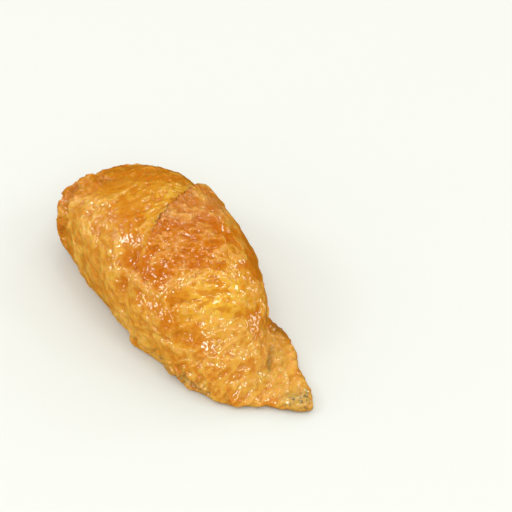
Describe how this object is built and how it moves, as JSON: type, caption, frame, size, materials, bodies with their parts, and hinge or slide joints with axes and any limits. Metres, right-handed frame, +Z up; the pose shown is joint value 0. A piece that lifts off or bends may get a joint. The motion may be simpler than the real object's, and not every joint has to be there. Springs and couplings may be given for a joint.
{
  "type": "inari sushi",
  "caption": "Plump pouch of simmered fried tofu, shut round its rice, with a lapped front skin and a flat tail corner.",
  "frame": {"origin": "on the surface it rests on, under the middle of its bounding box", "axes": "+X along the pouch towards its flat tail corner, +Z up"},
  "size_m": [0.0836, 0.0406, 0.0296],
  "materials": {
    "tofu_skin": "golden-orange simmered fried tofu skin, crepey, with a wet glaze"
  },
  "bodies": {
    "root": {"tofu_pouch": "tofu_skin"}
  },
  "joints": []
}
